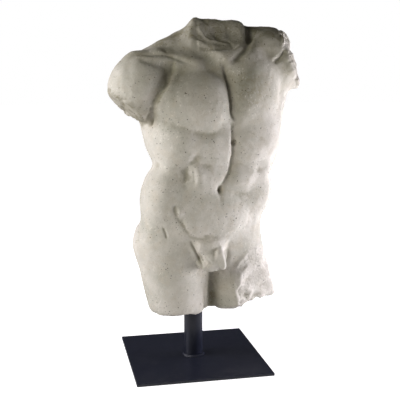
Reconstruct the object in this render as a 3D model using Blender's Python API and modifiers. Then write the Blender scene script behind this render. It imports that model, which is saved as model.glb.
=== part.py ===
# A male torso in stone, three quarters of life size, carried by a steel post on a square steel plate.
# The frame is in metres: +Z up, the plate's underside at z = 0 and the post's axis on x = y = 0.
# The front of the plate looks along -Y. The figure's own left is +X.

import math

import bmesh
import bpy
import numpy as np
from mathutils import Matrix, Vector

# The stand
plate_side = 0.300
plate_thickness = 0.006
plate_edge_break = 0.0005  # bevel on the plate's edges
post_diameter = 0.0424
post_wall = 0.0032
weld_leg = 0.005
weld_fullness = 0.36  # how far out of the corner the weld's face stands, in legs; 0.5 is flat
post_showing = 0.112  # from the plate's top to the stone's underside

# The stone
torso_height = 0.650  # from the underside to the top of the broken neck
torso_turn = math.radians(11.0)  # the figure looks a little to its own left of the plate
socket_depth = 0.040
socket_clearance = 0.0004  # round the post and above it
socket_wall = 0.010  # least stone round the socket
touching_gap = 0.0003  # left between pieces that touch

# Where the pieces meet
torso_bottom = plate_thickness + post_showing
post_bottom = plate_thickness + touching_gap
post_top = torso_bottom + socket_depth - socket_clearance
socket_radius = post_diameter / 2 + socket_clearance

# The figure is laid out in parts: 650 of them to the torso's height. In this layout x runs to the
# figure's left, y to its back and z up from the underside, with the post's axis on x = y = 0.
part = torso_height / 650

# The meshes
post_sides = 64
remesh_size = 5.5 * part
torso_faces = 8600


def tilted(lean, pitch, turn):
    """Lean tips a form's top to the figure's left, pitch tips it to the back, turn faces it left."""
    rotation = Matrix.Rotation(math.radians(turn), 3, "Z")
    rotation = rotation @ Matrix.Rotation(math.radians(-pitch), 3, "X")
    return rotation @ Matrix.Rotation(math.radians(lean), 3, "Y")


def along(points, start, end):
    """How far along a line each point lies, from 0 to 1, and its distance from the line."""
    start, end = np.array(start, float), np.array(end, float)
    line = end - start
    share = np.clip((points - start) @ line / (line @ line), 0, 1)
    return share, np.linalg.norm(points - start - share[:, None] * line, axis=1)


def joined(a, b, soft):
    """The union of two forms, with a fillet about as wide as soft."""
    overlap = np.maximum(soft - np.abs(a - b), 0) / soft
    return np.minimum(a, b) - overlap**2 * soft / 4


def common(a, b, soft):
    """What two forms have in common, its edge rounded by soft."""
    return -joined(-a, -b, soft)


def plane(points, through, normal):
    """Distance above a plane: more than 0 on the side that its normal points to."""
    normal = np.array(normal, float)
    return (points - np.array(through)) @ (normal / np.linalg.norm(normal))


def stroke(points, path, width):
    """1 on a path over the surface, falling smoothly to 0 about two widths to each side."""
    nearest = np.min([along(points, a, b)[1] for a, b in zip(path, path[1:])], axis=0)
    return np.exp(-((nearest / width) ** 2))


def roughness(points, size, seed):
    """Smooth unevenness from about -1 to 1, in lumps of about the size given."""
    draw = np.random.default_rng(seed)
    waves = draw.normal(size=(6, 3)) * math.pi / size
    return np.sin(points @ waves.T + draw.uniform(0, 6.3, 6)).sum(axis=1) / 3


def between(value, stops, levels):
    """A smooth curve through the levels at the stops."""
    slopes = np.gradient(levels, stops)
    after = np.clip(np.searchsorted(stops, value), 1, len(stops) - 1)
    wide = stops[after] - stops[after - 1]
    share = np.clip((value - stops[after - 1]) / wide, 0, 1)
    rise = levels[after] - levels[after - 1]
    ease = share * share * (3 - 2 * share)
    lead = share * (1 - share) ** 2 * slopes[after - 1] * wide
    tail = share * share * (1 - share) * slopes[after] * wide
    return levels[after - 1] + ease * rise + lead - tail


class Form:
    """A form that fillets into the rest by soft, with the breaks that cut it off."""

    def __init__(self, soft, breaks=()):
        self.soft, self.breaks = soft, breaks

    def distance(self, points):
        form = self.whole(points)
        for through, facing, edge, rough, size, seed in self.breaks:
            face = plane(points, through, facing) + rough * roughness(points, size, seed)
            form = common(form, face, edge)
        return form


class Mass(Form):
    """A rounded mass of flesh: an ellipsoid, or a squarer one where square is over 2."""

    def __init__(self, centre, radii, soft, breaks=(), square=2.0, lean=0.0, pitch=0.0, turn=0.0):
        super().__init__(soft, breaks)
        self.centre, self.radii, self.square = centre, radii, square
        self.rotation = tilted(lean, pitch, turn)

    def whole(self, points):
        radii = np.array(self.radii, float)
        local = np.abs((points - np.array(self.centre)) @ np.array(self.rotation)) / radii + 1e-6
        near = (local**self.square).sum(axis=1) ** (1 / self.square)
        slope = np.linalg.norm(local ** (self.square - 1) / radii, axis=1)
        return (near - 1) / (near ** (1 - self.square) * slope)

    def block_out(self, mesh):
        place = Matrix.Translation(Vector(self.centre) * part) @ self.rotation.to_4x4()
        place = place @ Matrix.Diagonal((*(r * part for r in self.radii), 1))
        bmesh.ops.create_icosphere(mesh, subdivisions=4, radius=1, matrix=place)


class Limb(Form):
    """A tapering round form from one point to another."""

    def __init__(self, start, end, radii, soft, breaks=()):
        super().__init__(soft, breaks)
        self.start, self.end, self.radii = start, end, radii

    def whole(self, points):
        share, away = along(points, self.start, self.end)
        return away - (self.radii[0] + (self.radii[1] - self.radii[0]) * share)

    def block_out(self, mesh):
        start, end = Vector(self.start), Vector(self.end)
        for share in (0, 0.25, 0.5, 0.75, 1):
            radius = (self.radii[0] + (self.radii[1] - self.radii[0]) * share) * part
            place = Matrix.Translation(start.lerp(end, share) * part)
            bmesh.ops.create_icosphere(mesh, subdivisions=4, radius=radius, matrix=place)


class Group(Form):
    """Forms that were whole together before they broke off."""

    def __init__(self, forms, soft, breaks):
        super().__init__(soft, breaks)
        self.forms = forms

    def whole(self, points):
        group = self.forms[0].distance(points)
        for form in self.forms[1:]:
            group = joined(group, form.distance(points), form.soft)
        return group

    def block_out(self, mesh):
        for form in self.forms:
            form.block_out(mesh)


# Height, then how far the trunk reaches to the figure's right, left, front and back
trunk_sections = (
    (102, -104, 152, -62, 60),
    (130, -120, 156, -72, 68),
    (160, -126, 156, -76, 68),
    (200, -124, 158, -78, 60),
    (240, -116, 160, -76, 54),
    (280, -108, 172, -74, 52),
    (310, -96, 180, -74, 54),
    (338, -84, 188, -76, 58),
    (370, -92, 194, -80, 64),
    (410, -104, 200, -82, 70),
    (450, -110, 204, -80, 74),
    (500, -106, 200, -70, 72),
    (550, -96, 190, -52, 64),
    (585, -66, 170, -32, 54),
)
trunk_squareness = 2.3
trunk_dome = 26  # how far the stacked sections round over at their ends


def trunk(p):
    """Distance to the rib cage, waist and pelvis: rounded sections stacked along the height."""
    height, *reaches = np.array(trunk_sections, float).T
    right, left, front, back = (between(p[:, 2], height, reach) for reach in reaches)
    centre = np.stack([(right + left) / 2, (front + back) / 2], axis=1)
    half = np.stack([(left - right) / 2, (back - front) / 2], axis=1)
    local = (p[:, :2] - centre) / half
    near = (np.abs(local) ** trunk_squareness).sum(axis=1) ** (1 / trunk_squareness)
    inside = (near - 1) * half.min(axis=1)
    outside = np.linalg.norm(p[:, :2] - centre, axis=1) * (1 - 1 / np.maximum(near, 1e-6))
    side = np.where(near < 1, inside, outside)
    return common(side, np.maximum(p[:, 2] - height[-1], height[0] - p[:, 2]), trunk_dome)


def block_out_trunk(mesh):
    for height, right, left, front, back in trunk_sections:
        centre = Vector(((right + left) / 2, (front + back) / 2, height)) * part
        radii = ((left - right) / 2 * part, (back - front) / 2 * part, trunk_dome * part)
        place = Matrix.Translation(centre) @ Matrix.Diagonal((*radii, 1))
        bmesh.ops.create_icosphere(mesh, subdivisions=4, radius=1, matrix=place)


# The breaks: a point on each, where it faces, its edge's softness, then the depth, lump size and
# seed of its roughness
left_thigh_break = ((150, -50, 60), (0.30, -0.94, -0.12), 6, 4, 60, 6)
left_thigh_underside = ((98, 0, -1), (0.14, -0.20, -0.97), 5, 3, 50, 5)
right_arm_cut = ((-158, 0, 455), (-0.66, -0.06, -0.75), 5, 1, 40, 5)
left_shoulder_break = ((233, -24, 545), (0.80, -0.52, 0.28), 9, 4, 60, 9)
neck_face = ((56, -54, 571), (0.03, -0.80, 0.60), 3, 2, 44, 3)
neck_top = ((50, 30, 638), (0.12, 0.25, 0.95), 4, 1.5, 80, 4)

socket_stone = (socket_radius + socket_wall) / part  # radius

neck_side = Limb((22, 2, 606), (-30, -4, 556), (42, 34), 14)
neck_column = Limb((50, 18, 520), (60, -34, 690), (56, 58), 14)

masses = {
    "right thigh": Limb((-60, 4, 150), (-37, 0, -10), (74, 62), 20),
    "left thigh": Limb(
        (98, 6, 150), (130, -14, -10), (66, 74), 20, [left_thigh_break, left_thigh_underside]
    ),
    "inside of the right thigh": Limb((0, -12, 118), (-1, -22, -10), (28, 32), 14),
    "inside of the left thigh": Limb((72, -12, 130), (77, -24, -10), (26, 28), 14),
    "web between the thighs": Limb((34, 22, 120), (36, 18, -10), (38, 34), 6),
    "stone round the socket": Limb((0, 0, socket_depth / part), (0, 0, -10), (socket_stone,) * 2, 8),
    "right buttock": Mass((-48, 42, 150), (76, 60, 78), 20, lean=-6),
    "left buttock": Mass((86, 40, 130), (76, 58, 76), 20, lean=-4),
    "right flank": Mass((-68, -17, 264), (55, 63, 67), 22, square=2.4, lean=8),
    "left flank": Mass((122, -19, 270), (54, 64, 64), 22, lean=-4),
    "right ribs": Mass((-40, -25, 382), (62, 65, 68), 28),
    "left ribs": Mass((134, -25, 392), (58, 66, 80), 28),
    "right back": Mass((-44, 20, 440), (64, 60, 120), 40, lean=-4),
    "left back": Mass((140, 20, 440), (64, 60, 120), 40, lean=6),
    "right shoulder blade": Mass((-66, 50, 496), (50, 30, 62), 26, lean=12, pitch=12),
    "left shoulder blade": Mass((156, 48, 528), (54, 30, 64), 26, lean=24, pitch=12),
    "left side of the chest": Limb((194, 8, 505), (172, 10, 380), (43, 30), 24),
    "right yoke": Limb((14, 26, 590), (-112, 8, 536), (44, 38), 24),
    "left yoke": Limb((90, 34, 590), (190, 18, 590), (44, 42), 24),
    "neck": Group([neck_side, neck_column], 8, [neck_face, neck_top]),
    "right shoulder": Mass((-127, -8, 499), (65, 60, 75), 6, [right_arm_cut], lean=22),
    "left shoulder": Mass((184, 2, 560), (64, 62, 72), 20, [left_shoulder_break], 2.3, lean=20),
    "left arm": Limb((190, 4, 556), (290, -6, 543), (60, 52), 16, [left_shoulder_break]),
    "right chest": Mass((-6, -51, 468), (66, 47, 67), 11, square=2.3, pitch=12, turn=-8),
    "right outer chest": Mass((-58, -44, 470), (58, 42, 50), 16, lean=16, turn=-24),
    "left chest": Mass((118, -42, 492), (70, 50, 92), 12, square=2.3, lean=16, pitch=8, turn=20),
    "right collar bone": Limb((-16, -48, 550), (-84, -26, 561), (10, 11), 26),
    "right collar bone end": Limb((-80, -26, 562), (-136, -6, 558), (10, 12), 20),
    "left collar bone": Limb((56, -56, 552), (150, -28, 596), (12, 12), 30),
    "right upper belly": Mass((18, -69, 369), (43, 24, 47), 16, square=2.3, lean=-4),
    "right middle belly": Mass((0, -71, 306), (44, 22, 30), 14, square=2.3, lean=-10),
    "right belly knot": Mass((-29, -79, 320), (14, 12, 19), 12),
    "left upper belly": Mass((92, -66, 369), (38, 24, 50), 18, square=2.3, lean=6),
    "left middle belly": Mass((74, -69, 304), (40, 22, 30), 16, square=2.3, lean=6),
    "lower belly": Mass((18, -61, 226), (82, 32, 66), 18, square=2.3, lean=6),
    "mound": Mass((8, -76, 159), (42, 18, 28), 6),
    "sack": Mass((8, -86, 126), (22, 19, 24), 7),
    "shaft": Limb((22, -94, 146), (28, -100, 118), (10, 8), 4),
}

# Depth, half width and route of each carved line
breast_line = (10, 5, ((47, -56, 556), (51, -78, 500), (54, -92, 443), (57, -88, 414)))
middle_line = (
    10, 6,
    ((57, -88, 414), (59, -90, 386), (57, -92, 356), (48, -92, 320), (27, -90, 286)),
)
navel = (10, 7, ((26, -90, 290), (26, -90, 280)))
waist_fold = (2, 16, ((-84, 30, 340), (-88, -14, 337), (-76, -52, 330)))
belly_dimple = (5, 9, ((-49, -78, 322), (-47, -80, 306)))
neck_hollow = (7, 12, ((96, -40, 576), (114, -22, 596)))
right_groin = (4, 7, ((-66, -74, 236), (-52, -80, 205), (-36, -84, 176)))
right_groin_fold = (8, 6, ((-36, -84, 176), (-14, -80, 130), (8, -62, 96)))
left_groin_fold = (6, 7, ((96, -76, 200), (66, -84, 172), (44, -80, 135), (32, -60, 100)))
mound_top = (2, 6, ((-38, -84, 180), (0, -90, 184), (40, -88, 180), (66, -84, 178)))
spine = (9, 15, ((50, 66, 570), (48, 84, 480), (42, 74, 380), (30, 58, 290), (20, 70, 215)))
cleft = (16, 9, ((20, 74, 215), (20, 90, 170), (24, 84, 110), (30, 60, 60)))
grooves = (
    breast_line, middle_line, navel, waist_fold, belly_dimple, neck_hollow, right_groin,
    right_groin_fold, left_groin_fold, mound_top, spine, cleft,
)

underside_round = 13  # how far the edge of the flat underside is rounded


def carved(p):
    """Distance to the stone's surface, in parts, less than 0 inside it."""
    form = trunk(p)
    for mass in masses.values():
        form = joined(form, mass.distance(p), mass.soft)
    for depth, width, path in grooves:
        form = form + depth * stroke(p, path, width)
    return common(form, -p[:, 2], underside_round)


def applied(thing):
    """Makes the thing's modifiers real."""
    graph = bpy.context.evaluated_depsgraph_get()
    data = bpy.data.meshes.new_from_object(thing.evaluated_get(graph))
    thing.modifiers.clear()
    thing.data = data


def remesh(thing, size):
    modifier = thing.modifiers.new("Remesh", "REMESH")
    modifier.mode = "VOXEL"
    modifier.voxel_size = size
    applied(thing)


def draw_onto(thing, form, rounds):
    """Moves each vertex down the form's slope until it lies on the form."""
    data = thing.data
    points = np.empty(len(data.vertices) * 3, np.float32)
    data.vertices.foreach_get("co", points)
    points = points.reshape(-1, 3).astype(float) / part
    step = 0.5
    for _ in range(rounds):
        away = form(points)
        slope = np.stack(
            [form(points + step * axis) - form(points - step * axis) for axis in np.eye(3)], axis=1
        ) / (2 * step)
        steep = np.maximum((slope**2).sum(axis=1), 0.3)
        points -= slope * np.clip(away / steep, -15, 15)[:, None]
    data.vertices.foreach_set("co", (points * part).astype(np.float32).ravel())
    data.update()


def finish(name, colour, roughness_value, metallic=0.0):
    material = bpy.data.materials.new(name)
    material.use_nodes = True
    shader = material.node_tree.nodes["Principled BSDF"]
    shader.inputs["Base Color"].default_value = (*colour, 1)
    shader.inputs["Roughness"].default_value = roughness_value
    shader.inputs["Metallic"].default_value = metallic
    return material


def new_object(name, mesh, collection, material=None):
    data = bpy.data.meshes.new(name)
    mesh.to_mesh(data)
    mesh.free()
    thing = bpy.data.objects.new(name, data)
    collection.objects.link(thing)
    if material:
        data.materials.append(material)
    return thing


def round_bar(radius, bottom, top, sides=post_sides):
    mesh = bmesh.new()
    middle = Matrix.Translation((0, 0, (bottom + top) / 2))
    bmesh.ops.create_cone(
        mesh, cap_ends=True, segments=sides, radius1=radius, radius2=radius,
        depth=top - bottom, matrix=middle,
    )
    return mesh


def cutter_of(name, mesh, cutters):
    cutter = new_object(name, mesh, cutters)
    cutter.hide_render = True
    cutter.display_type = "WIRE"
    return cutter


def cut_by(thing, cutter):
    modifier = thing.modifiers.new("Cut by " + cutter.name, "BOOLEAN")
    modifier.operation = "DIFFERENCE"
    modifier.object = cutter


def make_torso(collection, cutters, material):
    mesh = bmesh.new()
    block_out_trunk(mesh)
    for mass in masses.values():
        mass.block_out(mesh)
    torso = new_object("torso", mesh, collection, material)
    for size, rounds in ((2, 7), (1, 3), (1, 2)):
        remesh(torso, remesh_size * size)
        draw_onto(torso, carved, rounds)
    fewer = torso.modifiers.new("Fewer faces", "DECIMATE")
    fewer.ratio = min(1.0, torso_faces / (2 * len(torso.data.polygons)))
    applied(torso)
    place = Matrix.Translation((0, 0, torso_bottom)) @ Matrix.Rotation(torso_turn, 4, "Z")
    torso.data.transform(place)
    if not torso.data.materials:
        torso.data.materials.append(material)
    torso.data.shade_smooth()
    socket = round_bar(socket_radius, torso_bottom - socket_depth, torso_bottom + socket_depth)
    cut_by(torso, cutter_of("socket_cutter", socket, cutters))
    return torso


def make_post(collection, cutters, material):
    post = new_object("post", round_bar(post_diameter / 2, post_bottom, post_top), collection, material)
    bore = round_bar(post_diameter / 2 - post_wall, post_bottom - post_wall, post_top + post_wall)
    cut_by(post, cutter_of("post_bore", bore, cutters))
    post.data.shade_smooth()
    post.data.set_sharp_from_angle(angle=math.radians(40))
    return post


def make_base_plate(collection, material):
    mesh = bmesh.new()
    place = Matrix.Translation((0, 0, plate_thickness / 2))
    place = place @ Matrix.Diagonal((plate_side, plate_side, plate_thickness, 1))
    bmesh.ops.create_cube(mesh, size=1, matrix=place)
    plate = new_object("base_plate", mesh, collection, material)
    edges = plate.modifiers.new("Broken edges", "BEVEL")
    edges.width = plate_edge_break
    edges.segments = 1
    return plate


def make_foot_weld(collection, material):
    """The fillet of weld round the post's foot: a slightly hollow triangle turned about the axis."""
    inner = post_diameter / 2 + touching_gap
    bottom = plate_thickness + touching_gap
    hollow = weld_leg * weld_fullness
    profile = (
        (inner, bottom + weld_leg),
        (inner + hollow, bottom + hollow),
        (inner + weld_leg, bottom),
        (inner, bottom),
    )
    mesh = bmesh.new()
    corners = [mesh.verts.new((x, 0, z)) for x, z in profile]
    for pair in zip(corners, corners[1:] + corners[:1]):
        mesh.edges.new(pair)
    weld = new_object("foot_weld", mesh, collection, material)
    turned = weld.modifiers.new("Turned", "SCREW")
    turned.axis = "Z"
    turned.steps = turned.render_steps = post_sides
    turned.use_merge_vertices = True
    turned.merge_threshold = 0.0001
    return weld


def main():
    for thing in list(bpy.data.objects):
        bpy.data.objects.remove(thing)
    sculpture = bpy.data.collections.new("stone_torso_on_stand")
    cutters = bpy.data.collections.new("cutters")
    for collection in (sculpture, cutters):
        bpy.context.scene.collection.children.link(collection)
    stone = finish("stone", (0.62, 0.59, 0.53), 0.8)
    black_paint = finish("black_paint", (0.012, 0.013, 0.016), 0.35)
    make_torso(sculpture, cutters, stone)
    make_post(sculpture, cutters, black_paint)
    make_base_plate(sculpture, black_paint)
    make_foot_weld(sculpture, black_paint)


if __name__ == "__main__":
    main()
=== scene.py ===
import math

import bmesh
import bpy
import numpy as np
from mathutils import Matrix, Vector


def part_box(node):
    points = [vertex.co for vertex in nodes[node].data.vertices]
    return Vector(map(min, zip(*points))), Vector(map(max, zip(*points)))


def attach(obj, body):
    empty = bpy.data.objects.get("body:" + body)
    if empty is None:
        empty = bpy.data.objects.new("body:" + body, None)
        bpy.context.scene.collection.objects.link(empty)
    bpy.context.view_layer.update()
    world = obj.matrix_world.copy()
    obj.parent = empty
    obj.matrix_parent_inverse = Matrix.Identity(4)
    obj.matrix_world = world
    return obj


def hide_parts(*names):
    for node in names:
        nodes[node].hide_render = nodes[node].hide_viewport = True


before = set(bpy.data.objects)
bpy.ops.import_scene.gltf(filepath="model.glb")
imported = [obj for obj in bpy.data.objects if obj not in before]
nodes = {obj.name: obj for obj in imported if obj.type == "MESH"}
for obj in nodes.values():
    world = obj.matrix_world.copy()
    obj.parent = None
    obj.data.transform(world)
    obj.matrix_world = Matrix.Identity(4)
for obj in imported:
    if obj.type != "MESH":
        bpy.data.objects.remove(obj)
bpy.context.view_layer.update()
plateLow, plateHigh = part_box("base_plate")
postLow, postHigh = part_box("post")
weldLow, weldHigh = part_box("foot_weld")
torsoLow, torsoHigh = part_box("torso")
print("frame loaded:", sorted(nodes))

# The figure's own layout, as in the part's source: thousandths of a metre,
# x to its left, y to its back, z up from its underside
figureTurn = math.radians(11.0)
part = 0.001


# Shader helpers
def newMaterial(name):
    material = bpy.data.materials.new(name)
    material.use_nodes = True
    tree = material.node_tree
    shader = tree.nodes["Principled BSDF"]
    return material, tree, shader


def addNode(tree, kind, inputs=None, **settings):
    node = tree.nodes.new(kind)
    for key, value in settings.items():
        setattr(node, key, value)
    for key, value in (inputs or {}).items():
        if isinstance(value, bpy.types.NodeSocket):
            tree.links.new(value, node.inputs[key])
        else:
            node.inputs[key].default_value = value
    return node


def noise(tree, coords, scale, detail=4.0, roughness=0.55, distortion=0.0):
    return addNode(
        tree, "ShaderNodeTexNoise",
        {
            "Vector": coords, "Scale": scale, "Detail": detail,
            "Roughness": roughness, "Distortion": distortion,
        },
    ).outputs["Fac"]


def remap(tree, value, low, high, toLow=0.0, toHigh=1.0, smooth=False):
    node = addNode(
        tree, "ShaderNodeMapRange",
        {"Value": value, "From Min": low, "From Max": high, "To Min": toLow, "To Max": toHigh},
    )
    node.interpolation_type = "SMOOTHSTEP" if smooth else "LINEAR"
    return node.outputs["Result"]


def maths(tree, operation, a, b=0.0):
    return addNode(tree, "ShaderNodeMath", {0: a, 1: b}, operation=operation).outputs[0]


def mixColours(tree, share, first, second, blend="MIX"):
    node = tree.nodes.new("ShaderNodeMix")
    node.data_type = "RGBA"
    node.blend_type = blend
    places = (node.inputs[0], share), (node.inputs[6], first), (node.inputs[7], second)
    for socket, value in places:
        if isinstance(value, bpy.types.NodeSocket):
            tree.links.new(value, socket)
        elif isinstance(value, tuple):
            socket.default_value = (*value, 1.0)
        else:
            socket.default_value = value
    return node.outputs[2]


def addBump(tree, shader, height, look):
    bump = addNode(
        tree, "ShaderNodeBump",
        {"Height": height, "Strength": look["bump"], "Distance": look["bumpDepth"]},
    )
    tree.links.new(bump.outputs["Normal"], shader.inputs["Normal"])


# The stone's material
stoneLook = {
    "light": (0.735, 0.695, 0.635),
    "warm": (0.60, 0.545, 0.455),
    "grey": (0.495, 0.48, 0.415),
    # Dark colour used both for painted shade and for dirt
    "shadeAndDirt": (0.195, 0.176, 0.098),
    # Painted shade inside the pits
    "pitShade": (0.075, 0.062, 0.045),
    "fresh": (0.74, 0.70, 0.65),  # on the breaks
    "chalk": (0.80, 0.76, 0.69),  # where the skin is rubbed
    "freshShare": 0.45,
    # How dark the hollows get: mostly painted shade, with some dirt
    "hollowShadeAndDirt": 0.42,
    "blotDirt": 0.30,
    # Painted shade with some soiling, from the mesh's share: least and most darkening
    "shadeAndSoil": (0.44, 0.9),  # least and most, over the mottle
    # Cells in a metre, size, rarity, seed
    "pits": ((95, 0.20, 0.6, 0.0), (170, 0.27, 0.55, 3.7)),
    "pitShadeDarkness": 0.85,
    # Which way they turn, colour, seed
    "scratches": (
        ((0.5, 0.4, 0.0), "chalk", 1.3),
        ((-0.9, 1.1, 0.4), "chalk", 5.1),
        ((1.4, -0.3, 0.2), "shadeAndDirt", 8.6),
    ),
    "scratchSize": (0.0042, 0.0042, 0.034),  # metres
    "scratchShare": 0.5,
    "roughness": 0.86,
    "specular": 0.28,
    "bump": 0.5,
    "bumpDepth": 0.0011,  # metres
}


def makeStone():
    look = stoneLook
    material, tree, shader = newMaterial("stoneWithPaintedShade")
    coords = tree.nodes.new("ShaderNodeTexCoord").outputs["Object"]
    hollow = addNode(tree, "ShaderNodeAttribute", attribute_name="hollow").outputs["Fac"]
    broken = addNode(tree, "ShaderNodeAttribute", attribute_name="broken").outputs["Fac"]
    # The mesh's share of painted shade (top, recesses, neck breaks) and of soiling
    shadeAndSoilShare = addNode(tree, "ShaderNodeAttribute", attribute_name="shadeAndSoilShare").outputs["Fac"]

    clouds = noise(tree, coords, 9, 5, 0.6, 0.4)
    mottle = noise(tree, coords, 46, 6, 0.62, 0.6)
    grain = noise(tree, coords, 420, 4, 0.6)
    fine = noise(tree, coords, 1400, 2, 0.5)

    colour = mixColours(tree, remap(tree, clouds, 0.36, 0.68), look["light"], look["grey"])
    colour = mixColours(tree, remap(tree, mottle, 0.48, 0.72, 0, 0.7), colour, look["warm"])
    patches = remap(tree, noise(tree, coords, 95, 5, 0.7, 1.2), 0.54, 0.68, 0.0, 0.4)
    colour = mixColours(tree, patches, colour, look["chalk"])
    colour = mixColours(
        tree, maths(tree, "MULTIPLY", broken, look["freshShare"]), colour, look["fresh"]
    )

    # Painted shade, with some dirt, darkens the hollows, and dirt sits in blots on the skin
    shadeAndDirtEdge = maths(tree, "ADD", hollow, remap(tree, mottle, 0.3, 0.7, -0.22, 0.22))
    shadeAndDirt = remap(tree, shadeAndDirtEdge, 0.15, 1.3, 0.0, look["hollowShadeAndDirt"], smooth=True)
    blotches = noise(tree, coords, 150, 5, 0.7, 0.5)
    blots = remap(tree, blotches, 0.62, 0.82, 0.0, look["blotDirt"])
    # Painted shade with some soiling, mottled, where the mesh's share says
    shadeAndSoil = maths(tree, "MULTIPLY", shadeAndSoilShare, remap(tree, mottle, 0.3, 0.7, *look["shadeAndSoil"]))
    shadeAndDirt = maths(tree, "MAXIMUM", maths(tree, "MAXIMUM", shadeAndDirt, blots), shadeAndSoil)
    colour = mixColours(tree, shadeAndDirt, colour, look["shadeAndDirt"])
    grainShare = remap(tree, grain, 0.3, 0.75, 0.0, 0.22)
    colour = mixColours(tree, grainShare, colour, look["warm"], "MULTIPLY")

    # Scratches: short thin strokes, light and dark, in patches
    for turn, tone, seed in look["scratches"]:
        place = {"Location": (seed, seed, seed), "Rotation": turn, "Scale": look["scratchSize"]}
        along = addNode(
            tree, "ShaderNodeMapping", {"Vector": coords, **place}, vector_type="TEXTURE"
        ).outputs[0]
        strokes = noise(tree, along, 1.0, 2, 0.5)
        strokes = remap(tree, strokes, 0.63, 0.72, 0.0, look["scratchShare"])
        patch = remap(tree, noise(tree, coords, 17, 3, 0.5, seed * 0.1), 0.45, 0.6, 0.15, 1.0)
        colour = mixColours(tree, maths(tree, "MULTIPLY", strokes, patch), colour, look[tone])

    # Pits: few, small and of mixed size, darkened inside with painted shade
    pitHeights = []
    for spacing, reach, rarity, seed in look["pits"]:
        shifted = addNode(
            tree, "ShaderNodeMapping", {"Vector": coords, "Location": (seed, seed, seed)}
        ).outputs[0]
        cells = addNode(
            tree, "ShaderNodeTexVoronoi", {"Vector": shifted, "Scale": spacing, "Randomness": 1.0}
        )
        lot = cells.outputs["Color"]  # each cell draws its own
        size = remap(tree, lot, rarity, rarity + 0.25, reach * 0.45, reach)
        inside = maths(tree, "DIVIDE", cells.outputs["Distance"], size)
        spot = remap(tree, inside, 0.45, 1.0, 1.0, 0.0, smooth=True)
        chosen = remap(tree, lot, rarity, rarity + 0.02)
        cluster = remap(tree, noise(tree, shifted, 26, 2, 0.5), 0.42, 0.56, 0.15, 1.0)
        spot = maths(tree, "MULTIPLY", spot, chosen)
        pitHeights.append(maths(tree, "MULTIPLY", spot, cluster))
    pits = maths(tree, "MAXIMUM", *pitHeights)
    # Painted shade inside the pits
    pitShadeShare = maths(tree, "MULTIPLY", pits, look["pitShadeDarkness"])
    colour = mixColours(tree, pitShadeShare, colour, look["pitShade"])
    tree.links.new(colour, shader.inputs["Base Color"])

    rough = remap(tree, grain, 0.3, 0.7, look["roughness"] - 0.08, look["roughness"] + 0.06)
    tree.links.new(rough, shader.inputs["Roughness"])
    shader.inputs["Specular IOR Level"].default_value = look["specular"]

    # Relief: grain and tool-worn unevenness, coarser on the breaks
    coarse = remap(tree, noise(tree, coords, 190, 6, 0.7), 0.25, 0.75)
    worn = maths(tree, "MULTIPLY", coarse, remap(tree, broken, 0, 1, 0.45, 1.7))
    height = maths(tree, "ADD", worn, maths(tree, "MULTIPLY", grain, 0.55))
    height = maths(tree, "ADD", height, maths(tree, "MULTIPLY", fine, 0.18))
    height = maths(tree, "SUBTRACT", height, maths(tree, "MULTIPLY", pits, 1.6))
    addBump(tree, shader, height, look)
    return material


# The stand's material
paintLook = {
    "colour": (0.015, 0.017, 0.029),
    "dust": (0.062, 0.064, 0.074),
    "roughness": 0.34,
    "specular": 0.5,
    "bump": 0.16,
    "bumpDepth": 0.0002,  # metres
}


def makePaint():
    look = paintLook
    material, tree, shader = newMaterial("blackPaint")
    coords = tree.nodes.new("ShaderNodeTexCoord").outputs["Object"]
    cloud = noise(tree, coords, 22, 4, 0.6, 0.3)
    specks = noise(tree, coords, 900, 2, 0.5)
    peel = noise(tree, coords, 520, 3, 0.55)
    specks = remap(tree, specks, 0.45, 0.72, 0.02, 0.30)
    dusty = maths(tree, "MULTIPLY", remap(tree, cloud, 0.42, 0.72), specks)
    colour = mixColours(tree, dusty, look["colour"], look["dust"])
    tree.links.new(colour, shader.inputs["Base Color"])
    rough = remap(tree, cloud, 0.3, 0.7, look["roughness"] - 0.05, look["roughness"] + 0.09)
    tree.links.new(rough, shader.inputs["Roughness"])
    shader.inputs["Specular IOR Level"].default_value = look["specular"]
    addBump(tree, shader, peel, look)
    return material


stone = makeStone()
blackPaint = makePaint()
print("materials made")


# Mesh helpers
def objectFrom(name, mesh, material):
    data = bpy.data.meshes.new(name)
    mesh.to_mesh(data)
    mesh.free()
    data.materials.append(material)
    thing = bpy.data.objects.new(name, data)
    bpy.context.scene.collection.objects.link(thing)
    return thing


def applyModifiers(thing):
    graph = bpy.context.evaluated_depsgraph_get()
    data = bpy.data.meshes.new_from_object(thing.evaluated_get(graph))
    thing.modifiers.clear()
    old = thing.data
    thing.data = data
    bpy.data.meshes.remove(old)


def readPoints(data):
    points = np.empty(len(data.vertices) * 3, np.float32)
    data.vertices.foreach_get("co", points)
    return points.reshape(-1, 3).astype(float)


def readNormals(data):
    normals = np.empty(len(data.vertices) * 3, np.float32)
    data.vertex_normals.foreach_get("vector", normals)
    return normals.reshape(-1, 3).astype(float)


def writePoints(data, points):
    data.vertices.foreach_set("co", points.astype(np.float32).ravel())
    data.update()


def toLayout(points):
    c, s = math.cos(figureTurn), math.sin(figureTurn)
    x = points[:, 0] * c + points[:, 1] * s
    y = -points[:, 0] * s + points[:, 1] * c
    return np.stack([x, y, points[:, 2] - torsoLow.z], axis=1) / part


def toLayoutNormals(normals):
    return normals @ np.array(Matrix.Rotation(-figureTurn, 3, "Z")).T


def awayFrom(points, radii, centre):
    # 0 at the centre, 1 on the ellipsoid with those radii
    return np.linalg.norm((points - np.array(centre)) / np.array(radii), axis=1)


def smoothstep(value, low, high):
    share = np.clip((value - low) / (high - low), 0, 1)
    return share * share * (3 - 2 * share)


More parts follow.
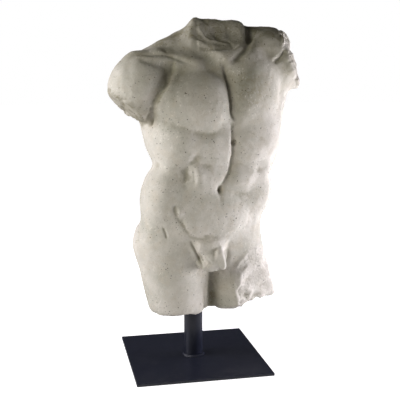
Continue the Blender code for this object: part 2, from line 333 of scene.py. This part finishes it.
def strokeOn(points, path, width, steepWidth=None, steepSide=(1, 0, 0), taper=0.22):
    # 1 on the path, falling to 0 at its sides and towards its ends; one side may be steeper
    lengths = [np.linalg.norm(np.subtract(b, a)) for a, b in zip(path, path[1:])]
    done = 0.0
    nearest, place = np.full(len(points), 1e9), np.zeros(len(points))
    side = np.zeros(len(points))
    for start, end, length in zip(path, path[1:], lengths):
        start, end = np.array(start, float), np.array(end, float)
        line = end - start
        share = np.clip((points - start) @ line / (line @ line), 0, 1)
        offset = points - start - share[:, None] * line
        away = np.linalg.norm(offset, axis=1)
        closer = away < nearest
        nearest = np.where(closer, away, nearest)
        place = np.where(closer, (done + share * length) / sum(lengths), place)
        side = np.where(closer, offset @ np.array(steepSide), side)
        done += length
    fade = smoothstep(place, -taper * 0.3, taper) * smoothstep(1 - place, -taper * 0.3, taper)
    width = np.where(side > 0, steepWidth or width, width)
    return np.exp(-((nearest / width) ** 2)) * fade


def lumps(points, size, seed, octaves=4, gain=0.55):
    # Sums of sine waves in random directions, each octave finer and lower than the last
    draw = np.random.default_rng(seed)
    total, weight = np.zeros(len(points)), 0.0
    for octave in range(octaves):
        waves = draw.normal(size=(7, 3)) * math.pi / size * 2**octave
        shift = draw.uniform(0, 2 * math.pi, 7)
        total += np.sin(points @ waves.T + shift).sum(axis=1) / 2.6 * gain**octave
        weight += gain**octave
    return total / weight


def chipped(points, through, reach, size, seed):
    # Broken stone: small tilted planes that meet in soft edges
    draw = np.random.default_rng(seed)
    count = int(4 * (reach / size) ** 2)
    centres = np.array(through) + draw.uniform(-reach, reach, (count, 3))
    tilts = draw.normal(0, 0.26, (count, 3))
    rises = draw.normal(0, size * 0.07, count)
    total, weights = np.zeros(len(points)), np.full(len(points), 1e-200)
    for centre, tilt, rise in zip(centres, tilts, rises):
        away = points - centre
        weight = np.exp(-np.linalg.norm(away, axis=1) / 1.5)
        total += weight * np.clip(rise + away @ tilt, -size * 0.3, size * 0.3)
        weights += weight
    return total / weights


print("helpers ready")


# The torso
torsoShape = {
    "voxel": 0.0019,  # metres
    "smoothing": 14,  # turns
    "melting": 80,  # turns
    "meltingStep": 0.6,
    "triangles": 192000,
    "socketGap": 0.0004,  # metres
    "chipGrain": (0.28, 4.2),  # height and size in parts, on the breaks
}

# Where the solid's steps are melted away, in parts: radii, centre
meltedPlaces = {
    "leftGroin": ((32, 22, 28), (90, -72, 190)),
    "underLeftChest": ((62, 26, 28), (128, -88, 410)),
    "leftFlank": ((32, 24, 34), (122, -80, 262)),
    "underKnot": ((22, 20, 22), (-38, -82, 288)),
    "moundEdge": ((13, 18, 18), (38, -92, 158)),
}

# Swells in parts: height, radii, centre. A height below 0 is a hollow.
swells = {
    "neckLeftSide": (6, (13, 26, 26), (104, -20, 604)),
    "throat": (3, (24, 16, 14), (38, -62, 560)),
    "neckBreakHollow": (-3, (34, 20, 13), (58, -22, 612)),
    "neckDip": (5, (20, 30, 16), (118, 4, 634)),
    "leftShoulderTop": (-5, (36, 40, 22), (188, 0, 630)),
    "neckTopRight": (5, (40, 34, 14), (84, 2, 632)),
    "bellyBump": (0.6, (11, 12, 17), (-27, -85, 322)),
    "bellyDimple": (1.2, (9, 14, 15), (-49, -79, 314)),
    "overDimple": (2.4, (13, 12, 9), (-18, -84, 345)),
    "bellyKnot": (-1.8, (10, 12, 16), (-29, -84, 318)),
    "waistFill": (9, (22, 20, 16), (-74, -56, 330)),
    "leftFlankFill": (9, (34, 20, 18), (140, -70, 314)),
    "leftFlank": (-3, (24, 18, 36), (128, -78, 258)),
    "lowerBellyTop": (1.5, (48, 16, 11), (2, -86, 276)),
    "underLeftChest": (-2, (50, 22, 22), (132, -88, 392)),
    "leftChestFront": (-3.4, (60, 24, 36), (118, -97, 462)),
    "bellyPit": (-7, (5, 12, 6), (59, -84, 384)),
    "navel": (-8, (4.6, 14, 7.2), (28, -84, 282)),
    "hipPit": (-3.5, (5, 10, 9), (-74, -78, 247)),
    "hipBump": (6, (6, 10, 11), (-62, -78, 236)),
    "knotPit": (-3.5, (6, 12, 9), (-45, -78, 313)),
    "knotLeft": (-7, (7, 14, 16), (-35, -86, 314)),
    "shaftSide": (4, (10, 12, 18), (21, -103, 135)),
    "innerThigh": (-11, (18, 28, 50), (20, -48, 16)),
    "rightOfKnot": (2.5, (14, 12, 14), (-16, -86, 318)),
    "moundTop": (3.5, (22, 14, 9), (14, -86, 172)),
    "bellyHollow": (-2, (13, 14, 22), (-4, -88, 352)),
    "collarPit": (-4, (8, 12, 7), (-75, -34, 577)),
    "thighScallopA": (-7, (8, 10, 8), (104, -63, 32)),
    "thighScallopB": (-7, (12, 10, 8), (134, -54, 27)),
    "thighScallopC": (-5, (8, 10, 6), (86, -68, 18)),
    "shoulderLump": (4, (22, 16, 20), (214, -52, 538)),
}

# Small lumps in one place: height, size, seed, octaves, gain, radii, centre, inner and outer edge
lumpyPlaces = {
    "curls": (0.7, 7, 21, 3, 0.75, (40, 22, 20), (10, -86, 158), 0.75, 1.15),
    "sack": (1.6, 13, 23, 3, 0.6, (20, 18, 24), (2, -92, 124), 0.7, 1.2),
}

# Tool-worn unevenness all over: height, size, seed, octaves, gain
unevenness = ((0.55, 42, 31, 2, 0.55), (0.42, 16, 33, 3, 0.65))

# Routes on the skin, from top to bottom or from the figure's right to its left
breastLine = (
    (46, -57, 546), (47, -60, 532), (50, -69, 507), (51, -77, 486), (52, -81, 465),
    (53, -83, 448), (60, -83, 430),
)
bellyLine = (
    (57, -81, 427), (57, -80, 410), (58, -84, 384), (58, -85, 363), (54, -84, 339),
    (49, -85, 320), (39, -84, 303), (31, -82, 290),
)
shoulderLine = (
    (-62, -47, 560), (-65, -45, 536), (-84, -63, 508), (-100, -66, 488), (-110, -62, 467),
    (-108, -55, 446),
)
chestEdge = (
    (-78, -65, 425), (-63, -72, 415), (-40, -81, 408), (-18, -83, 404), (7, -88, 403),
    (31, -86, 409),
)
thighEdge = (
    (111, -66, 138), (88, -68, 118), (76, -62, 95), (74, -61, 63), (77, -65, 35),
    (84, -67, 12),
)
shoulderEdge = (
    (184, -50, 605), (172, -59, 579), (169, -61, 558), (149, -75, 532), (140, -83, 515),
    (133, -89, 498),
)
groin = ((-38, -76, 174), (-28, -78, 154), (-16, -72, 134), (-13, -81, 118), (8, -56, 94))
hipLine = (
    (-76, -74, 251), (-71, -72, 235), (-65, -73, 222), (-54, -76, 208), (-46, -77, 195),
    (-39, -77, 183),
)


def beside(path, shift):
    return tuple(tuple(a + b for a, b in zip(point, shift)) for point in path)


# Carved lines: depth, half width, route, and for some the width on a steeper side and that side.
# A depth below 0 is a ridge.
carvedLines = {
    "breastLine": (6.5, 3.2, breastLine),
    "breastFlank": (2.6, 15, breastLine, 3, (-1, 0, 0)),
    "breastLip": (-2.2, 6, beside(breastLine, (-9, -2, 0))),
    "bellyLine": (2.8, 4.5, bellyLine),
    "bellyFlank": (2.2, 15, bellyLine, 3, (-1, 0, 0)),
    "bellyLip": (-1.5, 9, beside(bellyLine, (-12, -3, 0))),
    "shoulderLine": (7, 19, shoulderLine, 4, (0.74, 0, -0.58)),
    "shoulderCrease": (4, 3.4, shoulderLine),
    "shoulderLip": (-3, 7, beside(shoulderLine, (10, -4, -6))),
    "armpitSlit": (13, 6, ((-112, -57, 462), (-111, -39, 440), (-110, -20, 416))),
    "chestEdge": (2.4, 8, chestEdge),
    "chestLip": (-1.6, 11, beside(chestEdge, (2, -2, 16))),
    "collarAbove": (3.6, 5, (
        (-146, -26, 564), (-110, -34, 568), (-86, -41, 568), (-67, -44, 566),
        (-53, -49, 558), (-24, -58, 546),
    )),
    "collarRidge": (-2.4, 5, (
        (-134, -38, 561), (-100, -43, 559), (-78, -42, 556), (-52, -48, 549),
    )),
    "underCollar": (2.6, 7, (
        (-136, -44, 558), (-116, -50, 551), (-103, -50, 547), (-76, -43, 545),
    )),
    "neckLedge": (-2.4, 3.2, (
        (2, -14, 628), (16, -31, 605), (23, -35, 597), (39, -35, 595), (61, -39, 591),
        (84, -38, 596),
    )),
    "neckUnderLedge": (3.6, 4.5, (
        (-4, -36, 584), (29, -50, 580), (46, -50, 583), (68, -52, 585), (90, -43, 592),
    )),
    "neckLeftCleft": (10, 7.5, (
        (138, 8, 632), (122, -28, 600), (99, -60, 580), (78, -69, 563), (54, -70, 548),
    )),
    "bellyShadow": (2.8, 9, ((-20, -84, 366), (-28, -82, 353), (-33, -76, 338), (-38, -78, 322))),
    "ribLine": (1.2, 7, ((-72, -78, 358), (-35, -84, 384))),
    "leftCrest": (-0.7, 8, ((122, -78, 340), (97, -88, 305), (89, -85, 283), (88, -79, 240))),
    "belowNavel": (1.6, 5, ((28, -86, 274), (27, -88, 236))),
    "hipLine": (2.0, 4.5, hipLine),
    "pubicLine": (1.8, 4.5, ((-48, -76, 186), (-18, -83, 176), (3, -88, 175), (30, -87, 176))),
    "hipSlit": (3.8, 2.6, ((-94, -60, 206), (-91, -61, 196), (-88, -62, 188), (-87, -63, 181))),
    "groinFill": (-3, 9, groin),
    "groin": (7, 2.8, groin),
    "underSack": (5, 4, (
        (-12, -84, 124), (-6, -92, 112), (8, -92, 103), (24, -88, 101), (40, -80, 106),
    )),
    "sackLeft": (4.5, 4.5, ((54, -72, 150), (55, -67, 117), (50, -61, 92))),
    "shaft": (-3, 6, ((14, -101, 154), (21, -105, 129), (31, -102, 108))),
    "thighEdge": (-2.2, 5, thighEdge),
    "shoulderEdge": (-0.8, 7, shoulderEdge),
    "shoulderCleft": (7, 5, ((196, -60, 580), (181, -62, 562), (165, -62, 552))),
}

# The broken faces: a point on each, where it faces, its reach, chip size, relief, darkening share
# (painted shade on the neck's breaks), seed
brokenFaces = {
    "leftThigh": ((118, -60, 64), (0.30, -0.94, -0.12), 100, 18, 0.32, 0.0, 6),
    "leftThighInner": ((88, -66, 62), (0.02, -0.99, 0.0), 62, 18, 0.28, 0.0, 7),
    "leftThighUnder": ((105, 0, 0), (0.14, -0.20, -0.97), 80, 16, 0.7, 0.1, 5),
    "rightArm": ((-158, 0, 455), (-0.66, -0.06, -0.75), 60, 14, 0.45, 0.9, 11),
    "leftShoulder": ((233, -24, 545), (0.80, -0.52, 0.28), 90, 22, 0.7, 0.0, 9),
    "neckFace": ((56, -54, 571), (0.03, -0.80, 0.60), 100, 20, 0.28, 0.8, 3),
    "neckTop": ((50, 30, 638), (0.12, 0.25, 0.95), 66, 22, 0.15, 1.0, 4),
    "underside": ((-20, 0, 0), (0, 0, -1), 110, 14, 0.4, 0.2, 12),
}
# A broken face stops at its own edges: a point on each edge and the way in from it
faceEdges = {
    "leftThigh": (((120, -62, 143), (0.1, 0, -0.98)), ((88, -68, 118), (0.776, 0, -0.63))),
    "leftThighInner": (
        ((75, -62, 85), (1, 0, -0.05)),
        ((88, -68, 118), (0.776, 0, -0.63)),
        ((80, -66, 35), (0.98, 0, 0.19)),
    ),
    "leftShoulder": (((169, -61, 558), (0.905, 0, -0.43)),),
    "neckFace": (
        ((91, -62, 578), (-0.66, 0, 0.75)),
        ((-4, -38, 580), (1, 0, 0)),
        ((40, -52, 575), (-0.12, 0, 0.99)),
    ),
}

# Painted shade between the thighs, under the arm and sack, in the armpit, beside the neck and on
# the left chest: share, radii, centre
paintedShadePlaces = {
    "betweenThighs": (1.0, (13, 22, 75), (38, -18, 30)),
    "underArm": (0.75, (30, 26, 15), (-148, -50, 458)),
    "armpit": (0.8, (9, 24, 22), (-111, -40, 438)),
    "underSack": (0.6, (26, 14, 8), (12, -82, 100)),
    "besideNeck": (1.0, (36, 30, 26), (122, -30, 600)),
    "leftChest": (0.85, (52, 26, 62), (98, -92, 500)),
}

# Painted shade over the top, as shares, and where each begins and is full, in parts
upperShade = {
    "skyFrom": (505, 615),
    "upper": 0.53,
    "upperFrom": (385, 590),
    "litShoulder": 0.65,
    "litShoulderAcross": (80, 125),
    "litShoulderBelow": (545, 590),
}

# How hollow a place is, near and further round it: more smoothing turns, full depth, share
hollowness = ((10, 0.0007, 0.6), (60, 0.0035, 0.15))


def brokenShare(points, normals, name):
    through, facing, reach = brokenFaces[name][:3]
    facing = np.array(facing) / np.linalg.norm(facing)
    away = points - np.array(through, float)
    height = away @ facing
    across = np.linalg.norm(away - height[:, None] * facing, axis=1)
    share = 1 - smoothstep(np.abs(height), 7, 16)
    share *= 1 - smoothstep(across, reach * 0.9, reach * 1.1)
    share *= smoothstep(normals @ facing, 0.45, 0.8)
    for edge, inwards in faceEdges.get(name, ()):
        share *= smoothstep((points - np.array(edge)) @ np.array(inwards), -2, 3)
    return share


def neighbourMeans(data):
    edges = np.empty(len(data.edges) * 2, np.int64)
    data.edges.foreach_get("vertices", edges)
    a, b = edges.reshape(-1, 2).T
    many = len(data.vertices)
    count = np.bincount(a, minlength=many) + np.bincount(b, minlength=many)

    def mean(values):
        total = np.zeros_like(values)
        for column in range(3):
            total[:, column] = np.bincount(a, values[b, column], many)
            total[:, column] += np.bincount(b, values[a, column], many)
        return total / count[:, None]

    return mean


def sculpt(points, normals):
    # How far each point moves out along its normal, in parts
    move = np.zeros(len(points))
    for height, radii, centre in swells.values():
        move += height * np.exp(-(awayFrom(points, radii, centre) ** 2))
    for depth, width, path, *steep in carvedLines.values():
        move -= depth * strokeOn(points, path, width, *steep)
    for height, size, seed, octaves, gain, radii, centre, inner, outer in lumpyPlaces.values():
        share = 1 - smoothstep(awayFrom(points, radii, centre), inner, outer)
        move += height * lumps(points, size, seed, octaves, gain) * share
    move += sum(height * lumps(points, *rest) for height, *rest in unevenness)
    grainHeight, grainSize = torsoShape["chipGrain"]
    for name, (through, _, reach, size, relief, _, seed) in brokenFaces.items():
        share = brokenShare(points, normals, name)
        there = share > 0.01
        chips = chipped(points[there], through, reach, size, seed)
        chips = relief * (chips + lumps(points[there], size * 0.4, seed + 50, 2))
        grain = grainHeight * lumps(points[there], grainSize, seed + 70, 2, 0.8)
        move[there] += share[there] * (chips + grain)
    return move


def melt(data):
    places = readPoints(data)
    layout = toLayout(places)
    share = np.zeros(len(places))
    for radii, centre in meltedPlaces.values():
        share = np.maximum(share, 1 - smoothstep(awayFrom(layout, radii, centre), 0.6, 1.1))
    mean = neighbourMeans(data)
    for _ in range(torsoShape["melting"]):
        places += torsoShape["meltingStep"] * share[:, None] * (mean(places) - places)
    writePoints(data, places)


def makeTorso():
    source = bmesh.new()
    source.from_mesh(nodes["torso"].data)
    bmesh.ops.remove_doubles(source, verts=source.verts, dist=1e-6)
    torso = objectFrom("carvedTorso", source, stone)
    finer = torso.modifiers.new("Finer", "REMESH")
    finer.mode = "VOXEL"
    finer.voxel_size = torsoShape["voxel"]
    even = torso.modifiers.new("Even", "SMOOTH")
    even.factor = 0.5
    even.iterations = torsoShape["smoothing"]
    applyModifiers(torso)
    print("torso mesh:", len(torso.data.vertices), "vertices")

    melt(torso.data)
    places = readPoints(torso.data)
    normals = readNormals(torso.data)
    move = sculpt(toLayout(places), toLayoutNormals(normals))
    writePoints(torso.data, places + normals * (move * part)[:, None])
    print("torso carved")

    fewer = torso.modifiers.new("Fewer", "DECIMATE")
    fewer.ratio = min(1.0, torsoShape["triangles"] / (2 * len(torso.data.polygons)))
    applyModifiers(torso)
    finishTorso(torso)
    print("torso faces:", len(torso.data.polygons))
    return torso


def finishTorso(torso):
    data = torso.data
    places = readPoints(data)
    # Inside the CAD box, and clear of the post in its socket
    low, high = np.array(torsoLow), np.array(torsoHigh)
    places = np.clip(places, low, high)
    clear = (postHigh.x - postLow.x) / 2 + torsoShape["socketGap"]
    away = np.linalg.norm(places[:, :2], axis=1)
    inSocket = (away < clear) & (places[:, 2] < postHigh.z)
    places[inSocket, :2] *= (clear / np.maximum(away[inSocket], 1e-6))[:, None]
    writePoints(data, places)

    normals = readNormals(data)
    mean = neighbourMeans(data)
    soft = places.copy()
    hollow = np.zeros(len(places))
    for turns, depth, share in hollowness:
        for _ in range(turns):
            soft = mean(soft)
        hollow += ((soft - places) * normals).sum(axis=1) / depth * share
    hollow = np.clip(hollow, -1, 1)
    layout, layoutNormals = toLayout(places), toLayoutNormals(normals)
    shares = {name: brokenShare(layout, layoutNormals, name) for name in brokenFaces}
    broken = np.max(list(shares.values()), axis=0)
    # Each break darkens by its share; on the neck's breaks this is painted shade
    shadeAndSoilShare = np.max([share * brokenFaces[name][5] for name, share in shares.items()], axis=0)
    # Painted shade darkens what faces the sky near the top, and less so all of the upper half,
    # apart from the right shoulder, which is lit
    sideways, up, skyward = -layout[:, 0], layout[:, 2], layoutNormals[:, 2]
    skywardShade = smoothstep(skyward, 0.0, 0.8) * smoothstep(up, *upperShade["skyFrom"])
    litShoulder = smoothstep(sideways, *upperShade["litShoulderAcross"])
    litShoulder *= upperShade["litShoulder"] * (1 - smoothstep(up, *upperShade["litShoulderBelow"]))
    upper = upperShade["upper"] * smoothstep(up, *upperShade["upperFrom"]) * (1 - litShoulder)
    shadeAndSoilShare = np.max([shadeAndSoilShare, skywardShade, upper], axis=0)
    # Painted shade in these places
    for share, radii, centre in paintedShadePlaces.values():
        shadeAndSoilShare = np.maximum(shadeAndSoilShare, share * np.exp(-(awayFrom(layout, radii, centre) ** 2)))
    for name, values in (("hollow", hollow), ("broken", broken), ("shadeAndSoilShare", shadeAndSoilShare)):
        layer = data.attributes.new(name, "FLOAT", "POINT")
        layer.data.foreach_set("value", values.astype(np.float32))
    data.materials.clear()
    data.materials.append(stone)
    data.shade_smooth()


torso = makeTorso()
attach(torso, "root")
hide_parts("torso")


# The stand, in metres
standShape = {
    "sides": 96,
    "postRim": 0.0006,
    "plateEdge": 0.0007,
    "plateSegments": 3,
    "weldGap": 0.0002,
    "weldRipples": 46,
    "weldRippleHeight": 0.00035,
    "weldLumps": 0.0004,
}


def makePost():
    radius = (postHigh.x - postLow.x) / 2
    mesh = bmesh.new()
    middle = Matrix.Translation((0, 0, (postLow.z + postHigh.z) / 2))
    bmesh.ops.create_cone(
        mesh, cap_ends=True, segments=standShape["sides"], radius1=radius, radius2=radius,
        depth=postHigh.z - postLow.z, matrix=middle,
    )
    rims = [e for e in mesh.edges if e.calc_face_angle(0) > 1]
    bmesh.ops.bevel(
        mesh, geom=rims, offset=standShape["postRim"], offset_type="OFFSET", affect="EDGES",
        segments=2, profile=0.5, material=-1,
    )
    for face in mesh.faces:
        face.smooth = True
    post = objectFrom("postTube", mesh, blackPaint)
    post.data.set_sharp_from_angle(angle=math.radians(35))
    return post


def makePlate():
    mesh = bmesh.new()
    size = plateHigh - plateLow
    place = Matrix.Translation((plateLow + plateHigh) / 2) @ Matrix.Diagonal((*size, 1))
    bmesh.ops.create_cube(mesh, size=1, matrix=place)
    bmesh.ops.bevel(
        mesh, geom=list(mesh.edges), offset=standShape["plateEdge"], offset_type="OFFSET",
        affect="EDGES", segments=standShape["plateSegments"], profile=0.5, material=-1,
    )
    for face in mesh.faces:
        face.smooth = True
    plate = objectFrom("steelPlate", mesh, blackPaint)
    plate.data.set_sharp_from_angle(angle=math.radians(60))
    weighted = plate.modifiers.new("Flat faces lead", "WEIGHTED_NORMAL")
    weighted.keep_sharp = True
    applyModifiers(plate)
    return plate


def makeWeld():
    # A bead laid in short overlapping ripples, turned round the post's foot
    gap = standShape["weldGap"]
    inner = (postHigh.x - postLow.x) / 2 + gap
    leg = weldHigh.x - inner - gap
    bottom = weldLow.z
    mesh = bmesh.new()
    section = ((0, 1), (0.30, 0.80), (0.56, 0.56), (0.80, 0.30), (1, 0), (0, 0))
    corners = [mesh.verts.new((inner + x * leg, 0, bottom + z * leg)) for x, z in section]
    edges = [mesh.edges.new((a, b)) for a, b in zip(corners, corners[1:] + corners[:1])]
    bmesh.ops.spin(
        mesh, geom=corners + edges, cent=(0, 0, 0), axis=(0, 0, 1), angle=2 * math.pi,
        steps=standShape["weldRipples"] * 6, use_merge=True,
    )
    bmesh.ops.remove_doubles(mesh, verts=mesh.verts, dist=1e-6)
    bmesh.ops.recalc_face_normals(mesh, faces=mesh.faces)
    for vert in mesh.verts:
        turn = math.atan2(vert.co.y, vert.co.x)
        away = math.hypot(vert.co.x, vert.co.y)
        share = min(1, (away - inner) / leg * 3) * min(1, (vert.co.z - bottom) / leg * 3)
        ripple = abs(math.sin(turn * standShape["weldRipples"] / 2)) - 1
        uneven = math.sin(turn * 5 + 1) * 0.6 + math.sin(turn * 13) * 0.4
        ripple *= standShape["weldRippleHeight"]
        move = share * (ripple + (uneven - 1) * standShape["weldLumps"] / 2)
        vert.co.x += math.cos(turn) * move
        vert.co.y += math.sin(turn) * move
        vert.co.z += move
    for face in mesh.faces:
        face.smooth = True
    return objectFrom("weldBead", mesh, blackPaint)


for make, name in ((makePost, "post"), (makePlate, "base_plate"), (makeWeld, "foot_weld")):
    piece = make()
    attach(piece, "root")
    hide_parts(name)
print("stand made")


# The room
cameraSet = {
    "place": (-0.3279, -1.6314, 0.6474),  # metres
    "azimuth": -11.9,  # degrees
    "down": 9.56,  # degrees
    "lens": 67.8,  # millimetres
}

room = {"colour": (0.93, 0.93, 0.93), "size": 14.0, "roughness": 0.9, "glow": 0.8, "sky": 0.04}

# Each lamp: degrees round from the camera, distance from the aim, height, power, colour
lamps = {
    "rightLow": (106, 1.0, 0.12, 11, (0.98, 0.97, 1.10)),
    "rightFar": (102, 1.7, 0.15, 18.5, (0.98, 0.97, 1.10)),
    "rightFill": (80, 1.0, 0.12, 7.5, (1.0, 0.98, 0.97)),
    "leftHigh": (-80, 1.5, 0.9, 19.5, (1.0, 0.985, 1.07)),
    "frontHigh": (-40, 1.5, 0.9, 7.5, (1.02, 1.0, 0.84)),
    "back": (172, 1.6, 0.5, 5, (1.0, 0.98, 0.95)),
}
lampSet = {"size": 0.8, "aim": (0.03, 0, 0.45), "glossFrom": 0.6}


def makeFloor():
    mesh = bmesh.new()
    bmesh.ops.create_grid(mesh, x_segments=1, y_segments=1, size=room["size"])
    material, tree, shader = newMaterial("paleFloor")
    shader.inputs["Base Color"].default_value = (*room["colour"], 1)
    shader.inputs["Roughness"].default_value = room["roughness"]
    shader.inputs["Emission Color"].default_value = (1, 1, 1, 1)
    # The floor glows a little more further out, so that it meets the white of the sky
    coords = tree.nodes.new("ShaderNodeTexCoord").outputs["Object"]
    away = addNode(tree, "ShaderNodeVectorMath", {0: coords}, operation="LENGTH").outputs["Value"]
    glow = remap(tree, away, 0.5, 2.6, room["glow"], 1.0)
    seen = tree.nodes.new("ShaderNodeLightPath").outputs["Is Camera Ray"]
    tree.links.new(maths(tree, "MULTIPLY", glow, seen), shader.inputs["Emission Strength"])
    floor = objectFrom("floor", mesh, material)


makeFloor()


def makeLights():
    aim = Vector(lampSet["aim"])
    for name, (turn, distance, height, power, colour) in lamps.items():
        turn = math.radians(turn + cameraSet["azimuth"])
        x, y = math.sin(turn) * distance, -math.cos(turn) * distance
        place = Vector((aim.x + x, aim.y + y, height))
        light = bpy.data.lights.new(name, "AREA")
        light.size = lampSet["size"]
        light.energy = power
        light.color = colour
        lamp = bpy.data.objects.new(name, light)
        lamp.location = place
        lamp.visible_camera = False
        # A low lamp would shine back from the plate
        lamp.visible_glossy = height > lampSet["glossFrom"]
        lamp.rotation_mode = "QUATERNION"
        lamp.rotation_quaternion = (aim - place).to_track_quat("-Z", "Y")
        bpy.context.scene.collection.objects.link(lamp)
    # The sky is white to the eye and lights little, as in a studio with no light overhead
    world = bpy.data.worlds.new("studio")
    world.use_nodes = True
    tree = world.node_tree
    sky = tree.nodes["Background"]
    sky.inputs["Color"].default_value = (1, 1, 1, 1)
    seen = tree.nodes.new("ShaderNodeLightPath").outputs["Is Camera Ray"]
    strength = remap(tree, seen, 0, 1, room["sky"], 1.0)
    tree.links.new(strength, sky.inputs["Strength"])
    bpy.context.scene.world = world
    bpy.context.scene.view_settings.view_transform = "Standard"


makeLights()


def makeCamera():
    data = bpy.data.cameras.new("camera")
    data.sensor_width = 36.0
    data.lens = cameraSet["lens"]
    camera = bpy.data.objects.new("camera", data)
    camera.location = cameraSet["place"]
    camera.rotation_euler = (
        math.radians(90 - cameraSet["down"]), 0, math.radians(cameraSet["azimuth"])
    )
    bpy.context.scene.collection.objects.link(camera)
    bpy.context.scene.camera = camera


makeCamera()
print("room ready")
